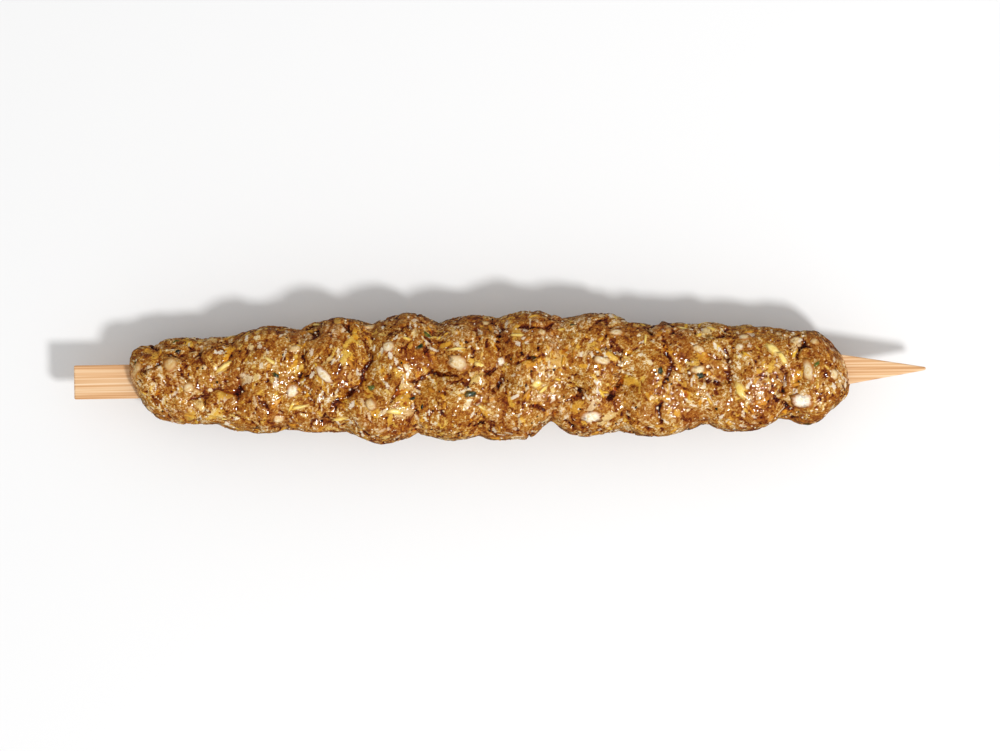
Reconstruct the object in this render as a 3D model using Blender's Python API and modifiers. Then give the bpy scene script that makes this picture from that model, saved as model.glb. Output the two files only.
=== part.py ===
"""Raw kofta skewer: spiced mince pressed by hand round a flat wooden stick.

Metres, +Z up, resting on z = 0. The stick lies along X with its point towards +X, and the
origin is on the ground under the middle of the stick. Sizes are written in millimetres and
turned to metres where vertices are placed. Angles round the stick start at +Y, the back,
and turn upwards: 90 degrees is the top, 180 the front and 270 the underside.
"""

import math

import bmesh
import bpy
from mathutils import Matrix, Vector, noise

MM = 0.001

# The stick: a flat strip with one square end and one end cut to a point.
STICK_LENGTH = 200.0
STICK_WIDTH = 8.0
STICK_THICKNESS = 3.0
POINT_LENGTH = 22.0
POINT_TIP_WIDTH = 0.7
ARRIS = 0.35
SLOT_GAP = 0.3
CUTTER_OVERRUN = 5.0

# The mince: where it starts and ends along the stick, its girth, and its two slanted ends.
MINCE_START = -86.6
MINCE_END = 82.0
MID_HALF_WIDTH = 13.0
END_HALF_WIDTH = 8.2
WIDEST_X = 3.0
LEFT_ROUNDING = 4.6
RIGHT_ROUNDING = 7.5
LEFT_END_LEAN = 2.4
RIGHT_END_LEAN = 1.7
END_LENGTH = 14.0
HEIGHT_SHARE = 0.94
AXIS_HEIGHT = 11.4
SAG_SOFTNESS = 0.8
SWAY = -1.2
SWAY_START = 15.0
SWAY_LENGTH = 50.0

# Hollows that the fingertips left in a row along the top: x, angle in degrees, depth.
PRESSES = (
    (-61.0, 108.0, 1.0),
    (-46.0, 102.0, 1.4),
    (-30.0, 90.0, 1.8),
    (-16.0, 95.0, 1.5),
    (0.5, 101.0, 2.1),
    (15.0, 107.0, 2.2),
    (29.5, 103.0, 2.1),
    (41.5, 93.0, 1.1),
    (53.5, 87.0, 2.0),
    (67.0, 98.0, 0.9),
)
PRESS_RADIUS = 4.2
PRESS_STRETCH = 1.33

# Notches that the sides of the fingers left, low on the front and back.
NOTCHES = (
    (-20.5, 184.0, 0.8),
    (-15.0, 30.0, 0.9),
    (11.3, 182.0, 2.3),
    (46.0, 20.0, 0.9),
    (67.0, 180.0, 1.3),
    (78.8, 183.0, 2.8),
)
NOTCH_RADIUS = 3.4
NOTCH_STRETCH = 2.2

# Lobes of mince that swelled up between the fingers: x and rise along the front, and the
# rises along the back, where each lobe fills the room between two fingertips.
FRONT_LOBES = (
    (-74.0, 0.9),
    (-58.8, 1.8),
    (-44.5, 0.9),
    (-28.0, 3.4),
    (-12.5, 2.2),
    (2.5, 2.4),
    (20.0, 1.9),
    (36.5, 2.3),
    (57.5, 1.7),
    (73.0, 1.5),
)
FRONT_ANGLE = math.radians(168.0)
BACK_RISES = (0.4, 1.7, 3.0, 2.8, 1.6, 2.7, 2.0, 1.2, 1.2, 1.0, 1.0)
BACK_ANGLE = math.radians(35.0)
UNDER_RISE = 1.0
UNDER_ANGLE = math.radians(268.0)
LOBE_REACH = 9.6
LOBE_SPREAD = math.radians(78.0)

# Unevenness of hand work: lobes wander by a few millimetres, and the surface is lumpy.
WANDER = 2.2
WANDER_SCALE = 14.0
WANDER_SEED = 56
LUMP_HEIGHT = 0.45
LUMP_SCALE = 6.5

# Rings of faces along the mince, and sides round it.
RINGS = 88
SIDES = 46


def clear_scene():
    for old in list(bpy.data.objects):
        bpy.data.objects.remove(old)


def principled(name, colour, roughness):
    material = bpy.data.materials.new(name)
    material.use_nodes = True
    shader = material.node_tree.nodes["Principled BSDF"]
    shader.inputs["Base Color"].default_value = (*colour, 1.0)
    shader.inputs["Roughness"].default_value = roughness
    shader.inputs["Metallic"].default_value = 0.0
    return material


def smoothstep(t):
    t = min(max(t, 0.0), 1.0)
    return t * t * (3.0 - 2.0 * t)


def angle_between(a, b):
    """The signed turn from b to a, between -pi and pi."""
    return math.remainder(a - b, math.tau)


def all_lobes():
    """Every lobe as (x, angle, rise): the front row, the back row and a low row underneath."""
    lobes = [(x, FRONT_ANGLE, rise) for x, rise in FRONT_LOBES]
    stations = (MINCE_START, *(x for x, _, _ in PRESSES), MINCE_END)
    for before, after, rise in zip(stations, stations[1:], BACK_RISES):
        lobes.append(((before + after) / 2, BACK_ANGLE, rise))
    for (before, _), (after, _) in zip(FRONT_LOBES, FRONT_LOBES[1:]):
        lobes.append(((before + after) / 2, UNDER_ANGLE, UNDER_RISE))
    return lobes


LOBES = all_lobes()


def half_width(x):
    """Girth without lobes: fullest just past the middle, thinner towards both ends."""
    share = (x - WIDEST_X) / (WIDEST_X - MINCE_START)
    return MID_HALF_WIDTH - (MID_HALF_WIDTH - END_HALF_WIDTH) * share**2


def lobe_swell(x, angle):
    """The highest lobe at this place. Where two lobes meet, this leaves the fold between them."""
    swell = 0.0
    for lobe_x, lobe_angle, rise in LOBES:
        along = (x - lobe_x) / LOBE_REACH
        around = angle_between(angle, lobe_angle) / LOBE_SPREAD
        swell = max(swell, rise * (1.0 - along**2 - around**2))
    return swell


def hollow_depth(marks, radius, stretch, x, angle):
    """How deep a row of marks sinks the surface here. Stretch draws each mark out round the stick."""
    depth = 0.0
    for mark, degrees, sunk in marks:
        around = angle_between(angle, math.radians(degrees)) * half_width(x) / stretch
        away = math.hypot(x - mark, around)
        depth += sunk * math.exp(-((away / radius) ** 2))
    return depth


def settled(height):
    """The mince sinks to a flat patch where it rests, with a soft edge."""
    if height <= -SAG_SOFTNESS:
        return 0.0
    if height >= SAG_SOFTNESS:
        return height
    return (height + SAG_SOFTNESS) ** 2 / (4.0 * SAG_SOFTNESS)


def cap_arc(rounding):
    """Length over a rounded end, from the stick out to the full girth."""
    return math.pi / 2 * math.hypot(rounding, END_HALF_WIDTH) / math.sqrt(2.0)


def station(along):
    """For a share of the length from 0 to 1: x, and how far the end's rounding has opened."""
    left_cap = cap_arc(LEFT_ROUNDING)
    right_cap = cap_arc(RIGHT_ROUNDING)
    body = MINCE_END - MINCE_START - LEFT_ROUNDING - RIGHT_ROUNDING
    run = along * (left_cap + body + right_cap)
    if run < left_cap:
        turn = run / left_cap * math.pi / 2
        return MINCE_START + LEFT_ROUNDING * (1.0 - math.cos(turn)), math.sin(turn)
    if run > left_cap + body:
        turn = (left_cap + body + right_cap - run) / right_cap * math.pi / 2
        return MINCE_END - RIGHT_ROUNDING * (1.0 - math.cos(turn)), math.sin(turn)
    return MINCE_START + LEFT_ROUNDING + run - left_cap, 1.0


def end_lean(x):
    """Shift along the stick, for each millimetre across it, that slants both ends."""
    left = LEFT_END_LEAN * smoothstep((MINCE_START + END_LENGTH - x) / END_LENGTH)
    right = RIGHT_END_LEAN * smoothstep((x - MINCE_END + END_LENGTH) / END_LENGTH)
    return (left + right) / END_HALF_WIDTH


def mince_point(along, angle):
    """A point on the mince, in metres, for a share of its length and an angle round the stick."""
    x, opening = station(along)
    girth = half_width(x)
    place = Vector((x, math.cos(angle) * girth, math.sin(angle) * girth))
    drift = noise.noise_vector(place / WANDER_SCALE) * WANDER
    lobe_x = x + drift.x
    lobe_angle = angle + drift.y / girth
    rise = lobe_swell(lobe_x, lobe_angle) + noise.noise(place / LUMP_SCALE) * LUMP_HEIGHT
    rise -= hollow_depth(PRESSES, PRESS_RADIUS, PRESS_STRETCH, lobe_x, lobe_angle)
    rise -= hollow_depth(NOTCHES, NOTCH_RADIUS, NOTCH_STRETCH, lobe_x, lobe_angle)
    radius = (girth + rise) * opening
    across = radius * math.cos(angle)
    sway = SWAY * smoothstep((x - SWAY_START) / SWAY_LENGTH)
    height = settled(AXIS_HEIGHT + HEIGHT_SHARE * radius * math.sin(angle))
    return Vector((x - across * end_lean(x), across + sway, height)) * MM


def tapered_strip(name, width, thickness, start, shoulder, end, tip_width):
    """A flat strip from start to end along X that narrows from its shoulder to a point."""
    bm = bmesh.new()
    bmesh.ops.create_cube(bm, size=1.0)
    bmesh.ops.translate(bm, verts=bm.verts, vec=(0.5, 0.0, 0.0))
    bmesh.ops.scale(bm, verts=bm.verts, vec=(end - start, width, thickness))
    bmesh.ops.translate(bm, verts=bm.verts, vec=(start, 0.0, AXIS_HEIGHT))
    everything = bm.verts[:] + bm.edges[:] + bm.faces[:]
    bmesh.ops.bisect_plane(bm, geom=everything, plane_co=(shoulder, 0.0, 0.0), plane_no=(1.0, 0.0, 0.0))
    tip = [vertex for vertex in bm.verts if vertex.co.x > (shoulder + end) / 2]
    bmesh.ops.scale(bm, verts=tip, vec=(1.0, tip_width / width, 1.0))
    bmesh.ops.scale(bm, verts=bm.verts, vec=(MM, MM, MM))
    mesh = bpy.data.meshes.new(name)
    bm.to_mesh(mesh)
    bm.free()
    return bpy.data.objects.new(name, mesh)


def make_stick(collection):
    """Flat wooden stick with lightly broken arrises."""
    end = STICK_LENGTH / 2
    shoulder = end - POINT_LENGTH
    stick = tapered_strip("stick", STICK_WIDTH, STICK_THICKNESS, -end, shoulder, end, POINT_TIP_WIDTH)
    collection.objects.link(stick)
    bevel = stick.modifiers.new("broken arrises", "BEVEL")
    bevel.width = ARRIS * MM
    bevel.segments = 2
    bevel.limit_method = "ANGLE"
    stick.data.materials.append(principled("pale wood", (0.86, 0.60, 0.36), 0.55))


def make_slot_cutter(collection):
    """The stick's own shape, a little larger all round and run past the square end."""
    end = STICK_LENGTH / 2
    cutter = tapered_strip(
        "slot cutter",
        STICK_WIDTH + 2.0 * SLOT_GAP,
        STICK_THICKNESS + 2.0 * SLOT_GAP,
        -end - CUTTER_OVERRUN,
        end - POINT_LENGTH,
        end,
        POINT_TIP_WIDTH + 2.0 * SLOT_GAP,
    )
    cutter.hide_render = True
    cutter.display_type = "WIRE"
    collection.objects.link(cutter)
    return cutter


def make_mince(collection, cutter):
    """One lump of mince, squeezed on by hand, with the slot that the stick fills."""
    bm = bmesh.new()
    bmesh.ops.create_uvsphere(bm, u_segments=SIDES, v_segments=RINGS, radius=1.0)
    onto_x = Matrix.Rotation(math.pi / 2, 3, "Y")
    bmesh.ops.rotate(bm, verts=bm.verts, cent=(0.0, 0.0, 0.0), matrix=onto_x)
    for vertex in bm.verts:
        along = 1.0 - math.acos(min(max(vertex.co.x, -1.0), 1.0)) / math.pi
        vertex.co = mince_point(along, math.atan2(vertex.co.z, vertex.co.y))
    mesh = bpy.data.meshes.new("mince")
    bm.to_mesh(mesh)
    bm.free()
    mesh.shade_smooth()
    mesh.materials.append(principled("raw spiced mince", (0.42, 0.20, 0.06), 0.35))
    mince = bpy.data.objects.new("mince", mesh)
    collection.objects.link(mince)
    slot = mince.modifiers.new("slot for the stick", "BOOLEAN")
    slot.operation = "DIFFERENCE"
    slot.solver = "EXACT"
    slot.object = cutter


def main():
    clear_scene()
    noise.seed_set(WANDER_SEED)
    parts = bpy.data.collections.new("kofta skewer")
    cutters = bpy.data.collections.new("cutters")
    bpy.context.scene.collection.children.link(parts)
    bpy.context.scene.collection.children.link(cutters)
    make_stick(parts)
    make_mince(parts, make_slot_cutter(cutters))


main()
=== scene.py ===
import math
import random

import bmesh
import bpy
import numpy as np
from mathutils import Matrix, Vector, noise
from mathutils.bvhtree import BVHTree


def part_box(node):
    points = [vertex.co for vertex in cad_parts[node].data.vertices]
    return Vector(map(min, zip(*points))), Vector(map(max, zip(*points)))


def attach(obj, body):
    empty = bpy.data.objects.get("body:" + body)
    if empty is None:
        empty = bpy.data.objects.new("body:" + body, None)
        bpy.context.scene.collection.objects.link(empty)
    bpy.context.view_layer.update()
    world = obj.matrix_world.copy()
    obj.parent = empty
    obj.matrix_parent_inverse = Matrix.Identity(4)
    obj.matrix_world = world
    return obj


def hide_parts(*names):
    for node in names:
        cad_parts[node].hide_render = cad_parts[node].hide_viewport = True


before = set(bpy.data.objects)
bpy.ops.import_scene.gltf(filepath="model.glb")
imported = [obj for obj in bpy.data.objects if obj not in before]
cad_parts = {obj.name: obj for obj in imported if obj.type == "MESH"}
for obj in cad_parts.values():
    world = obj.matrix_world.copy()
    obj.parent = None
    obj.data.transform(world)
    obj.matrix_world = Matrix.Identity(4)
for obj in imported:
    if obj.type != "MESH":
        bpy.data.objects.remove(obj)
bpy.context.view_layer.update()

# --------------------------------------------------------------------------------------------
# The stick: a flat strip of pale wood, split, planed and cut to a point at one end.
# It is left unvarnished, so it is dull, with fine straight fibres along its length.
# --------------------------------------------------------------------------------------------

MM = 0.001
FIBRE_WIDTH = 0.45 * MM
FIBRE_LENGTH = 60.0 * MM
PORE_WIDTH = 0.16 * MM
PORE_DEPTH = 0.05 * MM


def linear(code):
    """An sRGB hex colour as the linear values that a shader takes."""
    parts = [int(code[i : i + 2], 16) / 255 for i in (1, 3, 5)]
    return (*(p / 12.92 if p <= 0.04045 else ((p + 0.055) / 1.055) ** 2.4 for p in parts), 1.0)


def add(tree, kind, inputs=None, stops=None, **settings):
    """Adds a node. An input given as a socket is linked, and any other value is set on it."""
    node = tree.nodes.new(kind)
    for name, value in settings.items():
        setattr(node, name, value)
    if stops:
        while len(node.color_ramp.elements) < len(stops):
            node.color_ramp.elements.new(1.0)
        for element, (place, colour) in zip(node.color_ramp.elements, stops):
            element.position = place
            element.color = linear(colour)
    for name, value in (inputs or {}).items():
        if isinstance(value, bpy.types.NodeSocket):
            tree.links.new(value, node.inputs[name])
        else:
            node.inputs[name].default_value = value
    return node


def new_material(name):
    """A material with an empty tree, and its shader node linked to the output."""
    material = bpy.data.materials.new(name)
    material.use_nodes = True
    tree = material.node_tree
    tree.nodes.clear()
    shader = add(tree, "ShaderNodeBsdfPrincipled")
    add(tree, "ShaderNodeOutputMaterial", {"Surface": shader.outputs["BSDF"]})
    return material, tree, shader


# Sockets of a Mix node that mixes colours.
FACTOR, FIRST, SECOND, RESULT = 0, 6, 7, 2


def planed_wood():
    """Planed pale wood, unvarnished: matt, with darker fibres that run the length of the strip.
    Its pores are drawn about twice as wide as real ones, so that they show."""
    material, tree, shader = new_material("planed pale wood")
    place = add(tree, "ShaderNodeTexCoord").outputs["Object"]
    along = add(
        tree,
        "ShaderNodeMapping",
        {"Vector": place, "Scale": (FIBRE_WIDTH / FIBRE_LENGTH, 1.0, 0.6)},
    ).outputs["Vector"]
    fibres = add(
        tree,
        "ShaderNodeTexNoise",
        {"Vector": along, "Scale": 1.0 / FIBRE_WIDTH, "Detail": 3.0},
    ).outputs["Fac"]
    pores = add(
        tree,
        "ShaderNodeTexNoise",
        {"Vector": along, "Scale": 1.0 / PORE_WIDTH, "Detail": 1.0},
    ).outputs["Fac"]
    colour = add(
        tree,
        "ShaderNodeValToRGB",
        {"Fac": fibres},
        ((0.30, "#C08A5A"), (0.46, "#D8AA7C"), (0.54, "#E2BC92"), (0.72, "#ECD0AE")),
    ).outputs["Color"]
    fine = add(tree, "ShaderNodeMapRange", {"Value": pores, "To Min": 0.92, "To Max": 1.06})
    tinted = add(
        tree,
        "ShaderNodeMix",
        {FACTOR: 1.0, FIRST: colour, SECOND: fine.outputs["Result"]},
        data_type="RGBA",
        blend_type="MULTIPLY",
    ).outputs[RESULT]
    tree.links.new(tinted, shader.inputs["Base Color"])
    relief = add(
        tree,
        "ShaderNodeBump",
        {"Height": pores, "Strength": 0.25, "Distance": PORE_DEPTH},
    ).outputs["Normal"]
    tree.links.new(relief, shader.inputs["Normal"])
    shader.inputs["Roughness"].default_value = 0.62
    shader.inputs["IOR"].default_value = 1.45
    shader.inputs["Specular IOR Level"].default_value = 0.155
    return material


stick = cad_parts["stick"]
stick.material_slots[0].material = planed_wood()

# --------------------------------------------------------------------------------------------
# The mince: raw minced meat worked to a paste with grated onion and spices, squeezed round the
# stick by hand. Fingers pressed a row of hollows along the top, and lobes rose between them.
# The surface is moist, made of soft grains of meat and fat, with cracks where lobes meet.
# --------------------------------------------------------------------------------------------

stick_low, stick_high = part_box("stick")
AXIS_HEIGHT = (stick_low.z + stick_high.z) / 2 / MM

# The same form as the solid that this piece stands for, in millimetres.
MINCE_START = -86.6
MINCE_END = 82.0
MID_HALF_WIDTH = 13.0
END_HALF_WIDTH = 8.2
WIDEST_X = 3.0
LEFT_ROUNDING = 4.6
RIGHT_ROUNDING = 7.5
LEFT_END_LEAN = 2.4
RIGHT_END_LEAN = 1.7
END_LENGTH = 14.0
HEIGHT_SHARE = 0.94
SAG_SOFTNESS = 0.8
SWAY = -1.2
SWAY_START = 15.0
SWAY_LENGTH = 50.0

# Hollows from the fingertips: x, angle round the stick in degrees from the back, and depth.
PRESSES = (
    (-61.0, 108.0, 1.0),
    (-46.0, 102.0, 1.4),
    (-30.0, 90.0, 1.8),
    (-16.0, 95.0, 1.5),
    (0.5, 101.0, 2.1),
    (15.0, 107.0, 2.2),
    (29.5, 103.0, 2.1),
    (41.5, 93.0, 1.1),
    (53.5, 87.0, 2.0),
    (67.0, 98.0, 0.9),
)
PRESS_RADIUS = 4.2
PRESS_STRETCH = 1.33

# Notches in the outline, in the same way.
NOTCHES = (
    (-20.5, 184.0, 0.8),
    (-15.0, 30.0, 0.9),
    (11.3, 182.0, 2.3),
    (46.0, 20.0, 0.9),
    (67.0, 180.0, 1.3),
    (78.8, 183.0, 2.8),
)
NOTCH_RADIUS = 3.4
NOTCH_STRETCH = 2.2

# Lobes: x and rise of those in front, and rises of those at the back, between the hollows.
FRONT_LOBES = (
    (-74.0, 0.9),
    (-58.8, 1.8),
    (-44.5, 0.9),
    (-28.0, 3.4),
    (-12.5, 2.2),
    (2.5, 2.4),
    (20.0, 1.9),
    (36.5, 2.3),
    (57.5, 1.7),
    (73.0, 1.5),
)
FRONT_ANGLE = math.radians(168.0)
BACK_RISES = (0.4, 1.7, 3.0, 2.8, 1.6, 2.7, 2.0, 1.2, 1.2, 1.0, 1.0)
BACK_ANGLE = math.radians(35.0)
UNDER_RISE = 1.0
UNDER_ANGLE = math.radians(268.0)
LOBE_REACH = 9.6
LOBE_SPREAD = math.radians(78.0)
WANDER = 2.2
WANDER_SCALE = 14.0
WANDER_SEED = 56
LUMP_HEIGHT = 0.45
LUMP_SCALE = 6.5

# Creases where two lobes meet, which come and go. A lobe's claim to the skin fades with distance
# from its middle, as far as its claim reach.
CREASE_DEPTH = 0.45
CREASE_WIDTH = 0.2
CREASE_SCALE = 7.0
CREASE_SHARE = 0.15
CLAIM_REACH = 1.35

# How far outlines wander over short lengths, and how sharply soft patches of all kinds end.
RAGGED = 1.5
RAGGED_SCALE = 4.0
PATCH_CONTRAST = 1.6

# Cracks that opened as the paste was pressed, seen from above: depth, then x and y of each bend.
CRACKS = (
    (1.2, (-30.5, 14.0), (-31.5, 9.5), (-30.0, 4.5), (-33.0, -1.5), (-36.5, -5.0), (-40.5, -7.0)),
    (1.0, (-27.0, -1.0), (-25.5, 1.0)),
    (1.6, (-20.5, -2.0), (-16.0, 1.0), (-9.5, 0.0)),
    (0.8, (-16.0, 11.5), (-17.0, 6.0), (-15.0, 2.5)),
    (1.3, (-2.0, -4.5), (0.5, -1.0), (1.0, 2.0)),
    (1.0, (3.5, -6.0), (8.0, -7.5), (11.0, -9.5)),
    (1.2, (14.5, -2.5), (20.0, -4.5)),
    (1.2, (24.5, -6.5), (28.5, -2.5), (29.5, 1.0)),
    (1.2, (45.5, -1.8), (52.5, -2.6)),
    (1.6, (52.0, 7.5), (53.5, 2.0), (53.5, -3.0)),
    (1.0, (62.0, -5.0), (68.5, -10.5)),
    (0.8, (38.5, 8.0), (40.0, 2.0), (38.0, -3.0)),
    (0.7, (-47.0, 9.0), (-45.5, 4.0), (-47.0, -2.0)),
    (0.7, (-62.0, 2.0), (-59.0, -4.0)),
)

# A crack gapes over a share of its length, is thin at its ends, and lies in a broad valley.
CRACK_HALF_WIDTH = 1.0
CRACK_RAGGEDNESS = 0.4
CRACK_SCALE = 3.5
CRACK_SHARE = 0.6
NARROWEST_OPENING = 0.3
THINNEST_END = 0.2
VALLEY_HALF_WIDTH = 2.6
VALLEY_SHARE = 0.6

# The lay of the strands is their angle from the stick, which turns from lobe to lobe.
LAY = 1.3
LAY_TURN = 1.8
LAY_SCALE = 9.0

# What is strewn over the skin as low domes, from plates of pressed paste to grains of meat and
# fat: how many, their sizes, how far they are drawn out, and within what angle of the lay.
PLATES = {"count": 800, "sizes": (5.0, 11.0), "stretch": 1.5, "spread": math.pi, "seed": 2}
CLUMPS = {"count": 1300, "sizes": (3.5, 7.0), "stretch": 1.6, "spread": math.pi, "seed": 3}
STRANDS = {"count": 10000, "sizes": (1.2, 2.6), "stretch": 3.0, "spread": 0.4, "seed": 5}
GRAINS = {"count": 16000, "sizes": (0.8, 1.6), "stretch": 1.5, "spread": math.pi, "seed": 9}
PITS = {"count": 4000, "sizes": (0.6, 1.2), "stretch": 1.7, "spread": math.pi, "seed": 7}
FLECKS = {"count": 4200, "sizes": (0.8, 2.0), "stretch": 2.2, "spread": 0.8, "seed": 13}
PATCHES = {"count": 420, "sizes": (1.8, 4.2), "stretch": 1.7, "spread": math.pi, "seed": 19}
LOWEST_DOME = 0.55
PLATE_HEIGHT = 1.4
CLUMP_HEIGHT = 0.4
STRAND_HEIGHT = 0.26
GRAIN_HEIGHT = 0.18
PIT_DEPTH = 0.5

# The relief lies a little under the form on average, and levels off softly where it stands out.
RELIEF_LEVEL = -0.25
RELIEF_KNEE = 0.25
RELIEF_SOFTNESS = 0.35
RELIEF_AT_ENDS = 0.8

# Here and there the paste is smeared flat, which calms its relief and evens its shades.
SMEAR_SCALE = 6.0
SMEAR_SHARE = 0.4
SMEAR_CALM = 0.35
SMEAR_STRENGTH = 0.7
SMEAR_BLUR = 4
CALM_UNDER_PATCHES = 0.8

# How much each kind of dome, and streaks along the lay, lighten or darken the paste.
STREAK_REACH = 1.5
COMB_STEP = 0.3
STREAK_SEED = 17
STREAK_SHADE = 0.09
STRAND_SHADE = 0.27
GRAIN_SHADE = 0.14
CLUMP_SHADE = 0.12
PLATE_SHADE = 0.15
PATCH_WHITENESS = 0.6
PATCH_STRENGTH = 0.8

# The largest pieces of onion and fat in the paste, as they lie seen from above: x, y, length,
# width, turn in degrees, and tone from 0 for stained by the spices to 1 for white.
LARGE_DICE = (
    (-85.0, 2.6, 4.0, 2.2, 60, 0.5),
    (-82.2, -6.5, 2.6, 2.2, 70, 0.6),
    (-76.9, 3.9, 3.4, 2.8, 60, 0.5),
    (-72.7, -1.7, 2.6, 2.3, 10, 0.6),
    (-51.9, -9.3, 2.8, 2.2, 0, 0.65),
    (-48.5, -2.9, 3.2, 2.5, 50, 0.85),
    (-47.7, 7.0, 3.4, 2.0, 20, 0.55),
    (-41.0, 0.8, 5.2, 2.1, -45, 0.9),
    (-30.3, 11.8, 3.5, 1.8, 40, 0.6),
    (-30.3, -6.3, 3.0, 2.4, -60, 0.6),
    (-25.9, 7.1, 2.9, 2.8, 0, 0.75),
    (-9.9, 3.1, 4.6, 3.4, -20, 0.7),
    (0.2, 3.3, 2.2, 2.1, 0, 0.9),
    (9.9, 9.9, 1.9, 1.7, 0, 0.6),
    (21.2, -10.1, 4.4, 3.2, 10, 0.9),
    (23.8, 3.2, 3.8, 2.0, -15, 0.75),
    (27.3, 9.6, 3.0, 1.9, 20, 0.7),
    (46.2, 0.6, 3.4, 1.9, 5, 0.7),
    (46.4, 5.4, 3.0, 1.7, -30, 0.65),
    (57.1, 8.0, 2.6, 1.8, 0, 0.7),
    (56.0, 5.7, 1.9, 1.6, 0, 0.8),
    (70.4, -7.1, 4.4, 3.6, 10, 1.0),
    (71.9, -0.1, 4.6, 2.4, -75, 0.7),
    (73.7, 6.7, 2.1, 1.8, 0, 0.5),
    (78.0, -1.0, 2.5, 2.5, 0, 0.7),
)

# The largest shreds, in the same way but with no tone, because all are stained yellow.
LARGE_SLIVERS = (
    (-64.5, 3.1, 5.0, 1.2, 35),
    (-53.5, 4.3, 3.6, 0.9, -35),
    (-37.7, -9.6, 4.4, 1.2, 25),
    (-47.0, -6.6, 4.5, 1.0, 15),
    (-24.5, -8.0, 4.5, 1.4, -10),
    (-9.9, 6.4, 4.2, 0.8, 0),
    (4.2, 9.3, 4.2, 0.8, -15),
    (8.6, -2.1, 3.0, 1.8, 20),
    (10.0, -3.4, 3.2, 1.0, 35),
    (56.0, -4.4, 4.4, 2.4, -70),
    (63.7, 5.2, 4.6, 2.2, -45),
    (66.0, 3.0, 4.0, 1.6, -60),
)

# The paste closes round the large pieces, and there it is smooth and a little raised.
CLOSING_REACH = 0.5
CLOSING_RISE = 0.05

# How often the relief is blurred: for the bed that pieces lie in, and for what is round a place.
BED_BLUR = 12
# What is round a place sets how deep the painted shade in folds and pits is.
NEAR_BLUR = 10
FAR_BLUR = 80
FAR_SHARE = 0.1
DEEPEST_FOLD = 0.3

RINGS = 428
SIDES = 232
TOP_CROWDING = 0.25


def smoothstep(t):
    t = np.clip(t, 0.0, 1.0)
    return t * t * (3.0 - 2.0 * t)


def angle_between(a, b):
    return (a - b + math.pi) % math.tau - math.pi


def half_width(x):
    share = (x - WIDEST_X) / (WIDEST_X - MINCE_START)
    return MID_HALF_WIDTH - (MID_HALF_WIDTH - END_HALF_WIDTH) * share**2


def cap_arc(rounding):
    """About how long the skin is from the tip of a rounded end to where it runs straight."""
    return math.pi / 2 * math.hypot(rounding, END_HALF_WIDTH) / math.sqrt(2.0)


# The surface is a grid of rings along the stick by sides round it. Each array below has one
# number for each place on it. The sides stand closer together on top, where it is looked at.
left_cap = cap_arc(LEFT_ROUNDING)
right_cap = cap_arc(RIGHT_ROUNDING)
straight = MINCE_END - MINCE_START - LEFT_ROUNDING - RIGHT_ROUNDING
arc_length = left_cap + straight + right_cap
run = np.linspace(0.0, arc_length, RINGS + 1)
left_turn = np.clip(run / left_cap, 0.0, 1.0) * math.pi / 2
right_turn = np.clip((arc_length - run) / right_cap, 0.0, 1.0) * math.pi / 2
ring_x = MINCE_START + LEFT_ROUNDING * (1.0 - np.cos(left_turn))
ring_x = ring_x + np.clip(run - left_cap, 0.0, straight) + RIGHT_ROUNDING * np.cos(right_turn)
opening = (np.sin(left_turn) * np.sin(right_turn))[:, None]
facing = (np.cos(right_turn) - np.cos(left_turn))[:, None]
turn = np.arange(SIDES) / SIDES * math.tau
angle = (turn + TOP_CROWDING * np.cos(turn))[None, :] + 0.0 * opening
x = ring_x[:, None] + 0.0 * angle
girth = half_width(x)
around = girth * opening
spots = np.stack([x, np.cos(angle) * girth, np.sin(angle) * girth], axis=-1)


def noise_field(size, seed=0.0):
    """Smooth noise between about -1 and 1 at each place, with lumps of the given size."""
    shift = Vector((seed, seed, seed))
    values = [noise.noise(Vector(spot) / size + shift) for spot in spots.reshape(-1, 3)]
    return np.array(values).reshape(x.shape)


def patchy(size, seed, share):
    """Soft patches of 1 on 0 at each place. The larger the share, the more of them."""
    return smoothstep(share + noise_field(size, seed) * PATCH_CONTRAST)


def marks(rows, radius, stretch, along, angles):
    """Depth of a row of round marks, drawn out round the stick by their stretch."""
    depth = np.zeros_like(x)
    for mark, degrees, sunk in rows:
        across = angle_between(angles, math.radians(degrees)) * girth / stretch
        depth += sunk * np.exp(-((along - mark) ** 2 + across**2) / radius**2)
    return depth


def mounds(count, sizes, stretch, spread, seed, steepness=0.0, wobble=0.0):
    """Overlapping low domes strewn over the skin, drawn out within a spread of the lay of the
    strands. Steep ones have flat tops, and a wobble makes their outlines ragged. Gives the
    highest dome's height, from 0 to 1, and a random tone, at each place."""
    rng = random.Random(seed)
    height = np.zeros_like(x)
    tone = np.full_like(x, 0.5)
    spacing = arc_length / RINGS
    for _ in range(count):
        ring = rng.randrange(RINGS + 1)
        side = rng.randrange(SIDES)
        size = rng.uniform(*sizes)
        long_half = size * rng.uniform(1.0, stretch) / 2
        short_half = size / rng.uniform(1.0, stretch) / 2
        slant = lay[ring, side] + rng.uniform(-spread, spread)
        rise = rng.uniform(LOWEST_DOME, 1.0)
        shade = rng.random()
        if rng.random() > around[ring, 0] / MID_HALF_WIDTH:
            continue
        reach = int((long_half + 2.0 * wobble) / spacing) + 2
        rows = slice(max(ring - reach, 0), min(ring + reach + 1, RINGS + 1))
        along = (run[rows] - run[ring])[:, None] + wobble * ragged_x[rows]
        across = angle_between(angle[rows], angle[ring, side]) * around[rows]
        across += wobble * ragged_y[rows]
        u = (along * math.cos(slant) + across * math.sin(slant)) / long_half
        v = (across * math.cos(slant) - along * math.sin(slant)) / short_half
        dome = 1.0 - u**2 - v**2
        dome = rise * (smoothstep(dome * steepness) if steepness else dome)
        higher = dome > height[rows]
        height[rows] = np.where(higher, dome, height[rows])
        tone[rows] = np.where(higher, shade, tone[rows])
    return height, tone


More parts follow.
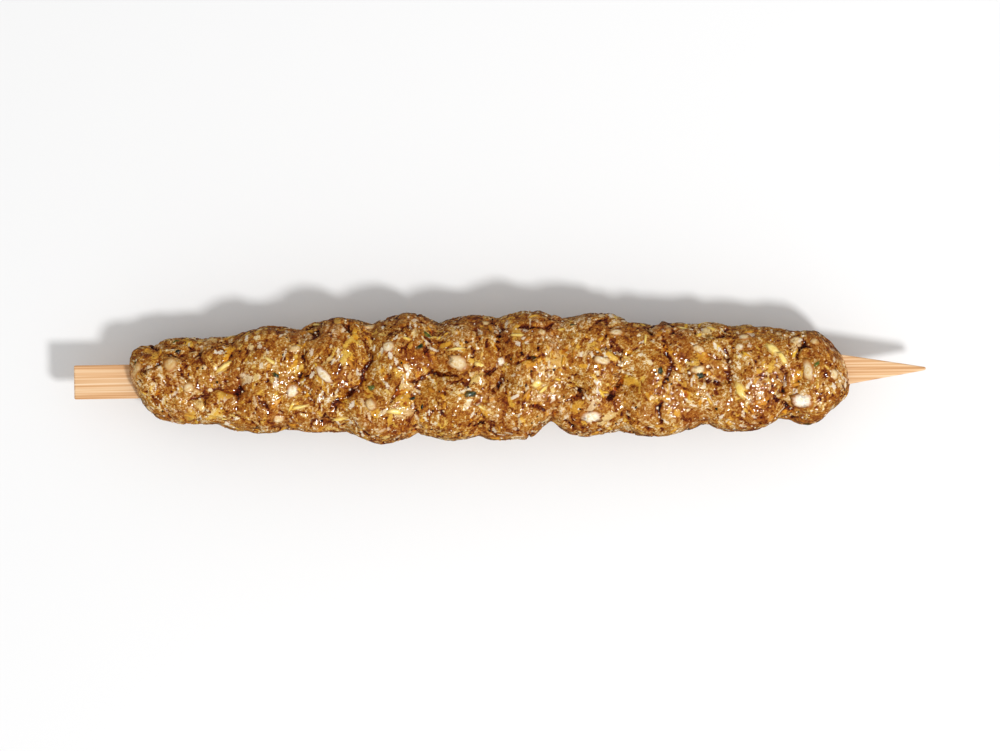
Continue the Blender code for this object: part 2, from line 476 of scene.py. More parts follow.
def blurred(field, times):
    """Each place takes the mean of itself and its neighbours, a number of times."""
    for _ in range(times):
        padded = np.concatenate([field[:1], field, field[-1:]])
        lengthways = (padded[:-2] + 2.0 * field + padded[2:]) / 4
        field = (np.roll(lengthways, 1, 1) + 2.0 * lengthways + np.roll(lengthways, -1, 1)) / 4
    return field


def nearest(rows, columns):
    """The ring and side nearest to a row and column that may lie between them."""
    rings = np.clip(np.rint(rows), 0, RINGS).astype(int)
    return rings, np.rint(columns).astype(int) % SIDES


def combed(field, reach):
    """The field drawn out along the lay of the strands, over a reach in millimetres each way."""
    total = field.copy()
    steps = round(reach / COMB_STEP)
    ring_step = COMB_STEP * RINGS / arc_length * np.cos(lay)
    side_length = np.maximum(around, 1.0) * math.tau / SIDES * (1.0 - TOP_CROWDING * np.sin(turn))
    side_step = COMB_STEP / side_length * np.sin(lay)
    for way in (-1.0, 1.0):
        rows, columns = np.indices(x.shape).astype(float)
        at = nearest(rows, columns)
        for _ in range(steps):
            rows += way * ring_step[at]
            columns += way * side_step[at]
            at = nearest(rows, columns)
            total += field[at]
    return total / (2 * steps + 1)


def crack_field(across, drift_x, drift_y):
    """Depth of the cracks on the upper side. Each runs in a valley, opens and closes on its way,
    and thins out towards both of its ends."""
    depth = np.zeros_like(x)
    opened = NARROWEST_OPENING + (1.0 - NARROWEST_OPENING) * patchy(CRACK_SCALE, 71.0, CRACK_SHARE)
    for sunk, *bends in CRACKS:
        total = sum(math.dist(a, b) for a, b in zip(bends, bends[1:]))
        passed = 0.0
        for start, end in zip(bends, bends[1:]):
            length = math.dist(start, end)
            step = ((end[0] - start[0]) / length, (end[1] - start[1]) / length)
            from_x = x + drift_x - start[0]
            from_y = across + drift_y - start[1]
            along = np.clip(from_x * step[0] + from_y * step[1], 0.0, length)
            away = np.hypot(from_x - along * step[0], from_y - along * step[1])
            share = (passed + along) / total
            taper = np.sqrt(np.clip(4.0 * share * (1.0 - share), 0.0, 1.0))
            taper = taper * (1.0 - THINNEST_END) + THINNEST_END
            split = np.clip(1.0 - away / CRACK_HALF_WIDTH, 0.0, 1.0) * opened
            valley = VALLEY_SHARE * np.exp(-((away / VALLEY_HALF_WIDTH) ** 2))
            depth = np.maximum(depth, sunk * taper * (split + valley))
            passed += length
    return depth * (np.sin(angle) > 0.0)


def closeness(across, pieces):
    """How near each place on the upper side is to one of the pieces: 1 under it, 0 well off."""
    near = np.zeros_like(x)
    for piece_x, piece_y, length, width, degrees, *_ in pieces:
        slant = math.radians(degrees)
        from_x = x - piece_x
        from_y = across - piece_y
        u = (from_x * math.cos(slant) + from_y * math.sin(slant)) / (length / 2)
        v = (from_y * math.cos(slant) - from_x * math.sin(slant)) / (width / 2)
        away = np.maximum(np.hypot(u, v) - 1.0, 0.0) / CLOSING_REACH
        near = np.maximum(near, np.exp(-(away**2)))
    return near * (np.sin(angle) > 0.0)


# Lobes, hollows and notches, which wander a little from their places.
noise.seed_set(WANDER_SEED)
drift = np.array([noise.noise_vector(Vector(s) / WANDER_SCALE) for s in spots.reshape(-1, 3)])
drift = drift.reshape(*x.shape, 3) * WANDER
lobe_x = x + drift[..., 0]
lobe_angle = angle + drift[..., 1] / girth
ragged_x = noise_field(RAGGED_SCALE, 11.0) * RAGGED
ragged_y = noise_field(RAGGED_SCALE, 23.0) * RAGGED
lobes = [(mark, FRONT_ANGLE, rise) for mark, rise in FRONT_LOBES]
stations = (MINCE_START, *(mark for mark, _, _ in PRESSES), MINCE_END)
for before, after, rise in zip(stations, stations[1:], BACK_RISES):
    lobes.append(((before + after) / 2, BACK_ANGLE, rise))
for (before, _), (after, _) in zip(FRONT_LOBES, FRONT_LOBES[1:]):
    lobes.append(((before + after) / 2, UNDER_ANGLE, UNDER_RISE))
swell = np.zeros_like(x)
claims = []
for mark, middle, rise in lobes:
    along = (lobe_x - mark) / LOBE_REACH
    across = angle_between(lobe_angle, middle) / LOBE_SPREAD
    swell = np.maximum(swell, rise * (1.0 - along**2 - across**2))
    along = (lobe_x + ragged_x - mark) / LOBE_REACH
    across = angle_between(lobe_angle + ragged_y / girth, middle) / LOBE_SPREAD
    claims.append(math.sqrt(rise) * (CLAIM_REACH - along**2 - across**2))
form = girth + swell + noise_field(LUMP_SCALE) * LUMP_HEIGHT
form -= marks(PRESSES, PRESS_RADIUS, PRESS_STRETCH, lobe_x, lobe_angle)
form -= marks(NOTCHES, NOTCH_RADIUS, NOTCH_STRETCH, lobe_x, lobe_angle)

# A crease runs where two lobes have nearly equal claims to a place.
claims = np.sort(np.array(claims), axis=0)
crease = np.exp(-(claims[-1] - claims[-2]) / CREASE_WIDTH)
crease *= patchy(CREASE_SCALE, 31.0, CREASE_SHARE)

lay = LAY + noise_field(LAY_SCALE, 61.0) * LAY_TURN
plates, plate_tone = mounds(**PLATES, steepness=3.0, wobble=0.8)
clumps, clump_tone = mounds(**CLUMPS, steepness=1.2, wobble=0.4)
strands, strand_tone = mounds(**STRANDS)
grains, grain_tone = mounds(**GRAINS)
pits, _ = mounds(**PITS)
smear = patchy(SMEAR_SCALE, 47.0, SMEAR_SHARE)

# Flecks and patches of fat and onion that are flush with the paste. Half of them show.
flecks, fleck_tone = mounds(**FLECKS)
patches, patch_tone = mounds(**PATCHES, steepness=1.2, wobble=0.8)
flecks = flecks * (fleck_tone > 0.5)
patches = patches * (patch_tone > 0.5) * PATCH_STRENGTH
bits = np.maximum(flecks, patches)
whiteness = np.where(
    flecks > patches, fleck_tone * 2.0 - 1.0, (patch_tone * 2.0 - 1.0) * PATCH_WHITENESS
)

# The relief of the skin, in millimetres.
sway = SWAY * smoothstep((x - SWAY_START) / SWAY_LENGTH)
seen_y = form * opening * np.cos(angle) + sway
rough = blurred(STRAND_HEIGHT * strands + GRAIN_HEIGHT * grains, 1)
calm = np.maximum(smear * SMEAR_STRENGTH, np.clip(patches * 2.0, 0.0, CALM_UNDER_PATCHES))
rough = rough + (blurred(rough, SMEAR_BLUR) - rough) * calm
relief = PLATE_HEIGHT * plates + CLUMP_HEIGHT * clumps + rough * (1.0 - SMEAR_CALM * smear)
relief -= CREASE_DEPTH * crease + PIT_DEPTH * pits * (1.0 - smear)
relief -= relief.mean() - RELIEF_LEVEL
relief -= crack_field(seen_y, ragged_x * CRACK_RAGGEDNESS, ragged_y * CRACK_RAGGEDNESS)
levelled = RELIEF_KNEE + RELIEF_SOFTNESS * np.tanh((relief - RELIEF_KNEE) / RELIEF_SOFTNESS)
relief = np.where(relief > RELIEF_KNEE, levelled, relief)
smooth_relief = blurred(relief, BED_BLUR)
closed = smooth_relief + CLOSING_RISE - relief
relief += closed * closeness(seen_y, LARGE_DICE + LARGE_SLIVERS)

# The shade of each place, about a middle of 0.5, and how far it lies below what is round it.
# The material paints a place darker the further it lies below: painted shade in folds and pits,
# with some dark juice.
streaks = combed(np.random.default_rng(STREAK_SEED).standard_normal(x.shape), STREAK_REACH)
streaks /= streaks.std()
shade = STREAK_SHADE * streaks + STRAND_SHADE * (strand_tone - 0.5)
shade = shade + GRAIN_SHADE * (grain_tone - 0.5)
shade = 0.5 + shade * (1.0 - SMEAR_CALM * smear)
shade = shade + CLUMP_SHADE * (clump_tone - 0.5) + PLATE_SHADE * (plate_tone - 0.5)
near_mean = blurred(relief, NEAR_BLUR)
juice_and_painted_shade = near_mean - relief + FAR_SHARE * (blurred(relief, FAR_BLUR) - near_mean)
juice_and_painted_shade = np.clip(juice_and_painted_shade / DEEPEST_FOLD, -1.0, 1.0)


def skin_with(relief):
    """Where each place on the skin comes to lie, in metres, for a relief in millimetres."""
    radius = (form + relief) * opening
    across = radius * np.cos(angle)
    height = AXIS_HEIGHT + HEIGHT_SHARE * radius * np.sin(angle)
    soft = (height + SAG_SOFTNESS) ** 2 / (4.0 * SAG_SOFTNESS)
    settled = np.where(height >= SAG_SOFTNESS, height, soft)
    settled = np.where(height <= -SAG_SOFTNESS, 0.0, settled)
    lean = LEFT_END_LEAN * smoothstep((MINCE_START + END_LENGTH - x) / END_LENGTH)
    lean = lean + RIGHT_END_LEAN * smoothstep((x - MINCE_END + END_LENGTH) / END_LENGTH)
    along = x + relief * facing * RELIEF_AT_ENDS - across * lean / END_HALF_WIDTH
    return np.stack([along, across + sway, settled], axis=-1) * MM


skin_places = skin_with(relief)
bed_places = skin_with(smooth_relief)

bm = bmesh.new()
bmesh.ops.create_uvsphere(bm, u_segments=SIDES, v_segments=RINGS, radius=1.0)
pole_to_x = Matrix.Rotation(math.pi / 2, 3, "Y")
bmesh.ops.rotate(bm, verts=bm.verts, cent=(0.0, 0.0, 0.0), matrix=pole_to_x)
# Among the looks is how far each place lies below what is round it, which the material paints
# darker as shade and juice.
looks = {"juice_and_painted_shade": juice_and_painted_shade, "shade": shade, "fleck": bits, "whiteness": whiteness}
layers = [(bm.verts.layers.float.new(name), field) for name, field in looks.items()]
unwrap = bm.loops.layers.uv.new("OFBake")
grid_place = {}
for vertex in bm.verts:
    ring = round((1.0 - math.acos(min(max(vertex.co.x, -1.0), 1.0)) / math.pi) * RINGS)
    side = round(math.atan2(vertex.co.z, vertex.co.y) / math.tau * SIDES) % SIDES
    grid_place[vertex] = (ring, side)
    vertex.co = skin_places[ring, side]
    for layer, field in layers:
        vertex[layer] = field[ring, side]
for face in bm.faces:
    face.smooth = True
    sides = [grid_place[loop.vert][1] for loop in face.loops]
    over_seam = max(sides) - min(sides) > SIDES / 2
    for loop, side in zip(face.loops, sides):
        wrapped = side + SIDES if over_seam and side < SIDES / 2 else side
        loop[unwrap].uv = (grid_place[loop.vert][0] / RINGS, wrapped / SIDES)
mince_mesh = bpy.data.meshes.new("mince_skin")
bm.to_mesh(mince_mesh)
bm.free()

# Sizes of the patterns in its material. Real flecks and ripples go down to a tenth of a
# millimetre and less, and both are drawn coarser, so that they show.
FINE_FLECK = 0.75 * MM
FLECK_CONTRAST = 1.3
SPICE_DRIFT = 8.0 * MM
RIPPLE_LENGTH = 0.85 * MM
RIPPLE_HEIGHT = 0.3 * MM


def raw_mince():
    """Raw mince paste: brown meat and pale fat ground to grains, wet with juice and oil. The wet
    film over it gives small sharp glints, and the paste under it is dull."""
    material, tree, shader = new_material("raw spiced mince")
    place = add(tree, "ShaderNodeTexCoord").outputs["Object"]
    # Strands and grains of meat and fat each have a shade of their own, flecked with finer ones.
    fine = add(
        tree,
        "ShaderNodeTexNoise",
        {
            "Vector": place,
            "Scale": 1.0 / FINE_FLECK,
            "Detail": 4.0,
            "Roughness": 0.6,
            "Distortion": 1.4,
        },
    ).outputs["Fac"]
    shade = add(tree, "ShaderNodeAttribute", attribute_name="shade").outputs["Fac"]
    fine_shade = add(
        tree,
        "ShaderNodeMath",
        {0: fine, 1: FLECK_CONTRAST, 2: -FLECK_CONTRAST / 2},
        operation="MULTIPLY_ADD",
    ).outputs[0]
    shade = add(tree, "ShaderNodeMath", {0: shade, 1: fine_shade}).outputs[0]
    colour = add(
        tree,
        "ShaderNodeValToRGB",
        {"Fac": shade},
        (
            (0.22, "#682E04"),
            (0.36, "#8E4C0A"),
            (0.48, "#A5691A"),
            (0.60, "#B88A3E"),
            (0.71, "#D0B07C"),
            (0.84, "#F0E8D6"),
        ),
    ).outputs["Color"]
    # Bits of fat and onion that are flush with the paste and partly covered by it.
    flecks = add(tree, "ShaderNodeAttribute", attribute_name="fleck").outputs["Fac"]
    ragged = add(
        tree, "ShaderNodeMath", {0: fine, 1: 2.0, 2: -1.0}, operation="MULTIPLY_ADD"
    ).outputs[0]
    flecks = add(tree, "ShaderNodeMath", {0: flecks, 1: ragged}).outputs[0]
    cover = add(
        tree,
        "ShaderNodeMapRange",
        {"Value": flecks, "From Min": 0.2, "From Max": 0.55, "To Max": 0.7},
        interpolation_type="SMOOTHSTEP",
    ).outputs["Result"]
    whiteness = add(tree, "ShaderNodeAttribute", attribute_name="whiteness").outputs["Fac"]
    fleck_colour = add(
        tree,
        "ShaderNodeValToRGB",
        {"Fac": whiteness},
        ((0.0, "#E2A020"), (0.4, "#E6C256"), (0.65, "#ECE2CC"), (1.0, "#F8F6F0")),
    ).outputs["Color"]
    colour = add(
        tree,
        "ShaderNodeMix",
        {FACTOR: cover, FIRST: colour, SECOND: fleck_colour},
        data_type="RGBA",
    ).outputs[RESULT]
    # Broad drifts of spice and oil: more orange in some places, more yellow in others.
    drifts = add(
        tree,
        "ShaderNodeTexNoise",
        {"Vector": place, "Scale": 1.0 / SPICE_DRIFT, "Detail": 3.0},
    ).outputs["Fac"]
    tint = add(
        tree,
        "ShaderNodeValToRGB",
        {"Fac": drifts},
        ((0.35, "#E8CCB0"), (0.5, "#FCF4E6"), (0.65, "#FFFCF0")),
    ).outputs["Color"]
    colour = add(
        tree,
        "ShaderNodeMix",
        {FACTOR: 1.0, FIRST: colour, SECOND: tint},
        data_type="RGBA",
        blend_type="MULTIPLY",
    ).outputs[RESULT]
    # Folds and pits are painted darker: partly dark juice, and partly painted shade.
    hollows = add(tree, "ShaderNodeAttribute", attribute_name="juice_and_painted_shade").outputs["Fac"]
    depth = add(
        tree,
        "ShaderNodeMapRange",
        {"Value": hollows, "From Min": 0.15, "From Max": 0.9, "To Min": 1.0, "To Max": 2.5},
    ).outputs["Result"]
    colour = add(tree, "ShaderNodeGamma", {"Color": colour, "Gamma": depth}).outputs["Color"]
    tree.links.new(colour, shader.inputs["Base Color"])
    ripples = add(
        tree,
        "ShaderNodeTexNoise",
        {"Vector": place, "Scale": 1.0 / RIPPLE_LENGTH, "Detail": 0.0},
    ).outputs["Fac"]
    relief = add(
        tree,
        "ShaderNodeBump",
        {"Height": ripples, "Strength": 1.0, "Distance": RIPPLE_HEIGHT},
    ).outputs["Normal"]
    tree.links.new(relief, shader.inputs["Normal"])
    tree.links.new(relief, shader.inputs["Coat Normal"])
    wet = add(tree, "ShaderNodeMapRange", {"Value": drifts, "To Min": 0.4, "To Max": 0.6})
    tree.links.new(wet.outputs["Result"], shader.inputs["Roughness"])
    shader.inputs["IOR"].default_value = 1.42
    shader.inputs["Specular IOR Level"].default_value = 0.15
    shader.inputs["Coat Weight"].default_value = 1.0
    shader.inputs["Coat Roughness"].default_value = 0.06
    shader.inputs["Coat IOR"].default_value = 1.6
    return material


mince = bpy.data.objects.new("mince_skin", mince_mesh)
bpy.context.scene.collection.objects.link(mince)
mince_mesh.materials.append(raw_mince())
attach(mince, "root")
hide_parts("mince")

# --------------------------------------------------------------------------------------------
# Chopped onion and fat: pale dice and flakes cut with the meat, pressed flush with the skin.
# They are moist, from crumbs under a millimetre to pieces of five, and paste sticks to their
# edges.
# --------------------------------------------------------------------------------------------

# Raw onion and fat: cream to white, and brown where the spices have soaked in.
ONION = ((0.0, "#A8661C"), (0.25, "#BE843A"), (0.5, "#D2AA6C"), (0.75, "#E4CC9E"), (1.0, "#F8F0DE"))
# Paste that sticks to the edges of a piece.
STUCK_PASTE = "#A8661E"
MOTTLE_CONTRAST = 1.3
MOTTLE_HEIGHT = 0.2 * MM

# Each large piece reaches further under the paste than its size, which is what shows of it.
UNDER_THE_PASTE = 1.2
LARGE_THICKNESS = 1.0
LARGE_PROUD = 0.3
SMALL_DICE = 160
SMALL_SHORTEST = 0.9
SMALL_RANGE = 1.5
SMALL_THICKNESS = 0.6
SMALL_PROUD = 0.05
CRUMBS = 1800
CRUMB_LENGTHS = (0.3, 0.75)
CRUMB_THICKNESS = 0.5
CRUMB_PROUD = 0.2
WIDTH_SHARES = (0.4, 0.9)
WHITE_TONES = (0.5, 1.0)

# A piece's outline swells and shrinks by this much, over lengths of about a half and a quarter
# of it.
BROAD_SWELL, BROAD_WAVES = 0.7, 1.7
FINE_SWELL, FINE_WAVES = 0.4, 4.0

# Small pieces are strewn evenly over the skin, clear of the ground and of the very ends. The
# grid's places are wider apart where the mince is thick, and there they are taken more often.
WIDEST_PLACE = 20.0
LOWEST_PLACE = 0.5 * MM
NEAREST_END = 0.6
GROUND_GAP = 0.02 * MM

# The paste without its grains, which the pieces are bedded in.
squares = [
    (first + side, first + after, first + SIDES + after, first + SIDES + side)
    for first in range(0, RINGS * SIDES, SIDES)
    for side, after in zip(range(SIDES), (*range(1, SIDES), 0))
]
bed = BVHTree.FromPolygons(bed_places.reshape(-1, 3).tolist(), squares)


def seen_from_above(x, y):
    """The place on the bed at x and y, in millimetres."""
    return bed.ray_cast(Vector((x, y, 100.0)) * MM, Vector((0.0, 0.0, -1.0)))[0]


def anywhere(rng):
    """A random place on the bed."""
    while True:
        ring, side = rng.randrange(RINGS), rng.randrange(SIDES)
        width = around[ring, side] * (1.0 - TOP_CROWDING * math.sin(turn[side]))
        place = Vector(bed_places[ring, side])
        wanted = rng.random() * WIDEST_PLACE < width
        if wanted and place.z > LOWEST_PLACE and opening[ring, 0] > NEAREST_END:
            return place


class Strewing:
    """Small pieces of one kind, bedded in the paste and joined in one mesh. A roundness of 1
    makes them ellipsoids, and a lower one makes them boxier."""

    def __init__(self, name, seed, roundness, detail):
        self.name = name
        self.rng = random.Random(seed)
        self.roundness = roundness
        self.detail = detail
        self.bm = bmesh.new()
        self.tone = self.bm.verts.layers.float.new("tone")
        self.rim = self.bm.verts.layers.float.new("rim")

    def press(self, place, sizes, proud, spin=None, tone=None, detail=None):
        """Beds one piece of the given length, width and thickness in the paste, in millimetres.
        Proud is how far its top stands out of the bed."""
        rng = self.rng
        half = [size / 2 * MM for size in sizes]
        normal = bed.find_nearest(place)[1]
        if spin is None:
            tangent = normal.orthogonal()
            tangent.rotate(Matrix.Rotation(rng.random() * math.tau, 3, normal))
        else:
            tangent = Vector((math.cos(spin), math.sin(spin), 0.0))
            tangent = (tangent - normal * tangent.dot(normal)).normalized()
        sideways = normal.cross(tangent)
        rise = proud * MM - half[2]
        tone = rng.random() if tone is None else tone
        shift = Vector((rng.random(), rng.random(), rng.random())) * 100.0
        made = bmesh.ops.create_icosphere(
            self.bm, subdivisions=detail or self.detail, radius=1.0
        )["verts"]
        for vertex in made:
            local = Vector([math.copysign(abs(c) ** self.roundness, c) for c in vertex.co])
            swell = 1.0 + BROAD_SWELL * noise.noise(vertex.co * BROAD_WAVES + shift)
            swell += FINE_SWELL * noise.noise(vertex.co * FINE_WAVES + shift)
            local = Vector((local.x * swell, local.y * swell, local.z))
            vertex[self.rim] = math.hypot(local.x, local.y) if vertex.co.z > 0.0 else 1.0
            level = place + tangent * local.x * half[0] + sideways * local.y * half[1]
            under = bed.find_nearest(level)
            vertex.co = under[0] + under[1] * (local.z * half[2] + rise)
            vertex[self.tone] = tone

    def finish(self, material):
        """Makes the piece out of all that was pressed in. Nothing goes below the ground."""
        for vertex in self.bm.verts:
            vertex.co.z = max(vertex.co.z, GROUND_GAP)
        for face in self.bm.faces:
            face.smooth = True
        mesh = bpy.data.meshes.new(self.name)
        self.bm.to_mesh(mesh)
        self.bm.free()
        mesh.materials.append(material)
        made = bpy.data.objects.new(self.name, mesh)
        bpy.context.scene.collection.objects.link(made)
        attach(made, "root")


def wet_piece(name, stops, mottle, covered):
    """Moist food of one kind, cut or ground: mottled, and glossy where it is wet. Each piece has
    a shade of its own. Mottle is the size of the mottling in millimetres, and covered is how
    much of a piece's edges the paste hides."""
    material, tree, shader = new_material(name)
    place = add(tree, "ShaderNodeTexCoord").outputs["Object"]
    tone = add(tree, "ShaderNodeAttribute", attribute_name="tone").outputs["Fac"]
    cloud = add(
        tree,
        "ShaderNodeTexNoise",
        {
            "Vector": place,
            "Scale": 1.0 / (mottle * MM),
            "Detail": 4.0,
            "Roughness": 0.6,
            "Distortion": 0.6,
        },
    ).outputs["Fac"]
    tone = add(tree, "ShaderNodeMath", {0: tone, 1: -MOTTLE_CONTRAST / 2}).outputs[0]
    shade = add(
        tree,
        "ShaderNodeMath",
        {0: cloud, 1: MOTTLE_CONTRAST, 2: tone},
        operation="MULTIPLY_ADD",
    ).outputs[0]
    colour = add(tree, "ShaderNodeValToRGB", {"Fac": shade}, stops).outputs["Color"]
    rim = add(tree, "ShaderNodeAttribute", attribute_name="rim").outputs["Fac"]
    ragged = add(tree, "ShaderNodeMath", {0: cloud, 1: rim}).outputs[0]
    cover = add(
        tree,
        "ShaderNodeMapRange",
        {"Value": ragged, "From Min": 0.95, "From Max": 1.5, "To Max": covered},
        interpolation_type="SMOOTHSTEP",
    ).outputs["Result"]
    smeared = add(
        tree,
        "ShaderNodeMix",
        {FACTOR: cover, FIRST: colour, SECOND: linear(STUCK_PASTE)},
        data_type="RGBA",
    ).outputs[RESULT]
    tree.links.new(smeared, shader.inputs["Base Color"])
    relief = add(
        tree,
        "ShaderNodeBump",
        {"Height": cloud, "Strength": 1.0, "Distance": MOTTLE_HEIGHT},
    ).outputs["Normal"]
    tree.links.new(relief, shader.inputs["Normal"])
    shader.inputs["Roughness"].default_value = 0.3
    shader.inputs["IOR"].default_value = 1.4
    shader.inputs["Coat Weight"].default_value = 0.3
    shader.inputs["Coat Roughness"].default_value = 0.06
    return material


dice = Strewing("chopped_onion_and_fat", seed=21, roundness=0.88, detail=2)
for dice_x, dice_y, length, width, degrees, tone in LARGE_DICE:
    sizes = (length * UNDER_THE_PASTE, width * UNDER_THE_PASTE, LARGE_THICKNESS)
    spin = math.radians(degrees)
    dice.press(seen_from_above(dice_x, dice_y), sizes, LARGE_PROUD, spin, tone, detail=3)
for _ in range(SMALL_DICE):
    length = SMALL_SHORTEST + SMALL_RANGE * dice.rng.random() ** 2
    sizes = (length, length * dice.rng.uniform(*WIDTH_SHARES), SMALL_THICKNESS)
    dice.press(anywhere(dice.rng), sizes, SMALL_PROUD, tone=dice.rng.uniform(*WHITE_TONES))
dice.finish(wet_piece("raw onion and fat", ONION, mottle=0.8, covered=1.0))

crumbs = Strewing("crumbs_of_fat", seed=22, roundness=0.9, detail=1)
for _ in range(CRUMBS):
    length = crumbs.rng.uniform(*CRUMB_LENGTHS)
    place = anywhere(crumbs.rng)
    sizes = (length, length * crumbs.rng.uniform(*WIDTH_SHARES), CRUMB_THICKNESS)
    crumbs.press(place, sizes, CRUMB_PROUD)
crumbs.finish(wet_piece("crumbs of fat", ONION, mottle=0.7, covered=0.4))

# --------------------------------------------------------------------------------------------
# Slivers of grated onion and garlic: thin shreds, stained yellow by turmeric and oil.
# They lie along the skin, bent to it and half sunk in the paste.
# --------------------------------------------------------------------------------------------

SMALL_SLIVERS = 90
SLIVER_LENGTHS = (1.4, 3.0)
SLIVER_WIDTHS = (0.5, 0.9)
SLIVER_THICKNESS = 0.6
SLIVER_PROUD = 0.2
LARGE_SLIVER_THICKNESS = 0.9
LARGE_SLIVER_TONE = 0.9
# Grated onion stained by turmeric: strong yellow, and paler where it is thick.
STAINED = ((0.0, "#A86414"), (0.35, "#CC8E20"), (0.65, "#E4B83C"), (1.0, "#F2DA86"))

slivers = Strewing("grated_slivers", seed=23, roundness=0.85, detail=2)
for sliver_x, sliver_y, length, width, degrees in LARGE_SLIVERS:
    place = seen_from_above(sliver_x, sliver_y)
    sizes = (length, width, LARGE_SLIVER_THICKNESS)
    spin = math.radians(degrees)
    slivers.press(place, sizes, LARGE_PROUD, spin, LARGE_SLIVER_TONE, detail=3)
for _ in range(SMALL_SLIVERS):
    length = slivers.rng.uniform(*SLIVER_LENGTHS)
    place = anywhere(slivers.rng)
    sizes = (length, slivers.rng.uniform(*SLIVER_WIDTHS), SLIVER_THICKNESS)
    slivers.press(place, sizes, SLIVER_PROUD)
slivers.finish(wet_piece("turmeric-stained shreds", STAINED, mottle=1.0, covered=0.6))

# --------------------------------------------------------------------------------------------
# Chopped parsley: thin dark green flakes of leaf, cut with a knife and mixed into the paste.
# They lie flat on the skin and are as wet as the rest.
# --------------------------------------------------------------------------------------------

# The flakes that show most, seen from above: x, y, length and turn in degrees.
LARGE_FLAKES = (
    (-76.0, 9.2, 2.2, 5),
    (-75.4, 6.9, 1.9, 20),
    (-57.4, -11.3, 1.6, 0),
    (-20.4, -5.0, 1.8, 15),
    (-18.5, 7.1, 2.4, 30),
    (-18.3, -7.0, 1.6, 70),
    (-16.8, 9.8, 2.6, -60),
    (-6.9, -4.2, 3.4, 10),
    (8.4, 3.8, 2.0, -30),
    (17.0, 11.5, 1.4, 0),
    (74.0, 1.5, 2.0, 40),
)
LARGE_WIDTH_SHARE = 0.45
SMALL_FLAKES = 18
FLAKE_LENGTHS = (0.8, 2.0)
FLAKE_WIDTH_SHARES = (0.35, 0.7)
FLAKE_THICKNESS = 0.5
FLAKE_PROUD = 0.2
# Parsley leaf: dark green, nearly black where it is wet.
LEAF = ((0.2, "#0E1A16"), (0.5, "#1A2C1A"), (0.75, "#36481C"), (1.0, "#66702C"))

flakes = Strewing("chopped_parsley", seed=24, roundness=0.8, detail=2)
for flake_x, flake_y, length, degrees in LARGE_FLAKES:
    place = seen_from_above(flake_x, flake_y)
    sizes = (length, length * LARGE_WIDTH_SHARE, FLAKE_THICKNESS)
    flakes.press(place, sizes, FLAKE_PROUD, math.radians(degrees))
for _ in range(SMALL_FLAKES):
    length = flakes.rng.uniform(*FLAKE_LENGTHS)
    place = anywhere(flakes.rng)
    sizes = (length, length * flakes.rng.uniform(*FLAKE_WIDTH_SHARES), FLAKE_THICKNESS)
    flakes.press(place, sizes, FLAKE_PROUD)
flakes.finish(wet_piece("chopped parsley leaf", LEAF, mottle=0.8, covered=0.3))

# --------------------------------------------------------------------------------------------
# Ground black pepper and chilli: hard dark specks, crushed to about half a millimetre.
# They are pushed into the paste, and no paste sticks to them.
# --------------------------------------------------------------------------------------------

SPECKS = 160
SPECK_LENGTHS = (0.3, 0.65)
SPECK_WIDTH_SHARE = 0.8
SPECK_THICKNESS_SHARE = 0.7
SPECK_PROUD = 0.15
# Ground pepper: nearly black, with red-brown bits of chilli among it.
PEPPER = ((0.0, "#1E120A"), (0.6, "#3A1E10"), (1.0, "#6A2A10"))

specks = Strewing("ground_pepper", seed=25, roundness=0.8, detail=1)
for _ in range(SPECKS):
    length = specks.rng.uniform(*SPECK_LENGTHS)
    sizes = (length, length * SPECK_WIDTH_SHARE, length * SPECK_THICKNESS_SHARE)
    specks.press(anywhere(specks.rng), sizes, SPECK_PROUD)
specks.finish(wet_piece("ground pepper", PEPPER, mottle=0.5, covered=0.0))

# --------------------------------------------------------------------------------------------
# The studio: a plain pale paper floor, a soft key light from the front right and an evenly
# bright room. The camera looks straight down from well above.
# --------------------------------------------------------------------------------------------

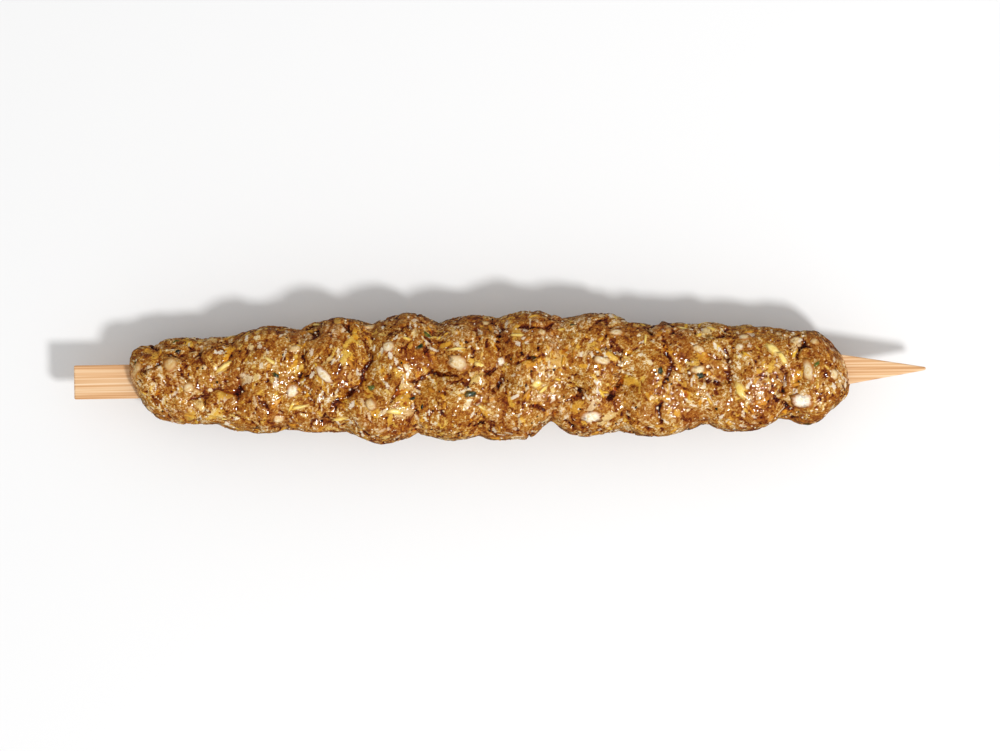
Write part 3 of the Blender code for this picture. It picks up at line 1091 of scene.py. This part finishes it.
FLOOR_SIZE = 6.0
MIDDLE = Vector((0.0, 0.0, AXIS_HEIGHT * MM))
KEY_FROM = Vector((0.48, -0.48, 1.04))
KEY_SIZE = 0.19
KEY_POWER = 10.4
ROOM_GLOW = 0.73
MIRRORED_GLOW = 0.04
CAMERA_HEIGHT = 1.3
FRAME_WIDTH = 0.235
STICK_TILT = math.radians(0.94)

bpy.ops.mesh.primitive_plane_add(size=FLOOR_SIZE)
floor = bpy.context.object
floor.name = "floor"
# Studio paper: white and quite matt, so it shows nothing but the soft shadow.
floor_material, _, floor_shader = new_material("white studio paper")
floor_shader.inputs["Base Color"].default_value = linear("#E6E6E6")
floor_shader.inputs["Roughness"].default_value = 0.9
floor.data.materials.append(floor_material)
# The wet skin doesn't mirror the floor, so that its own colour shows.
floor.visible_glossy = False

key_data = bpy.data.lights.new("key", "AREA")
key_data.shape = "DISK"
key_data.size = KEY_SIZE
key_data.energy = KEY_POWER
key = bpy.data.objects.new("key", key_data)
bpy.context.scene.collection.objects.link(key)
key.location = MIDDLE + KEY_FROM
key.rotation_euler = (-KEY_FROM).to_track_quat("-Z", "Y").to_euler()

# The room lights everything evenly, but a wet film mirrors it as nearly dark, for the same end.
room = bpy.data.worlds.new("white room")
room.use_nodes = True
mirrored = add(room.node_tree, "ShaderNodeLightPath").outputs["Is Glossy Ray"]
glow = add(
    room.node_tree,
    "ShaderNodeMapRange",
    {"Value": mirrored, "To Min": ROOM_GLOW, "To Max": MIRRORED_GLOW},
).outputs["Result"]
background = room.node_tree.nodes["Background"]
room.node_tree.links.new(glow, background.inputs["Strength"])
background.inputs["Color"].default_value = (1.0, 1.0, 1.0, 1.0)
bpy.context.scene.world = room

camera_data = bpy.data.cameras.new("camera")
camera_data.sensor_width = 36.0
camera_data.lens = camera_data.sensor_width * CAMERA_HEIGHT / FRAME_WIDTH
camera = bpy.data.objects.new("camera", camera_data)
bpy.context.scene.collection.objects.link(camera)
camera.location = MIDDLE + Vector((0.0, 0.0, CAMERA_HEIGHT))
camera.rotation_euler = (0.0, 0.0, -STICK_TILT)
bpy.context.scene.camera = camera
bpy.context.scene.view_settings.view_transform = "Standard"
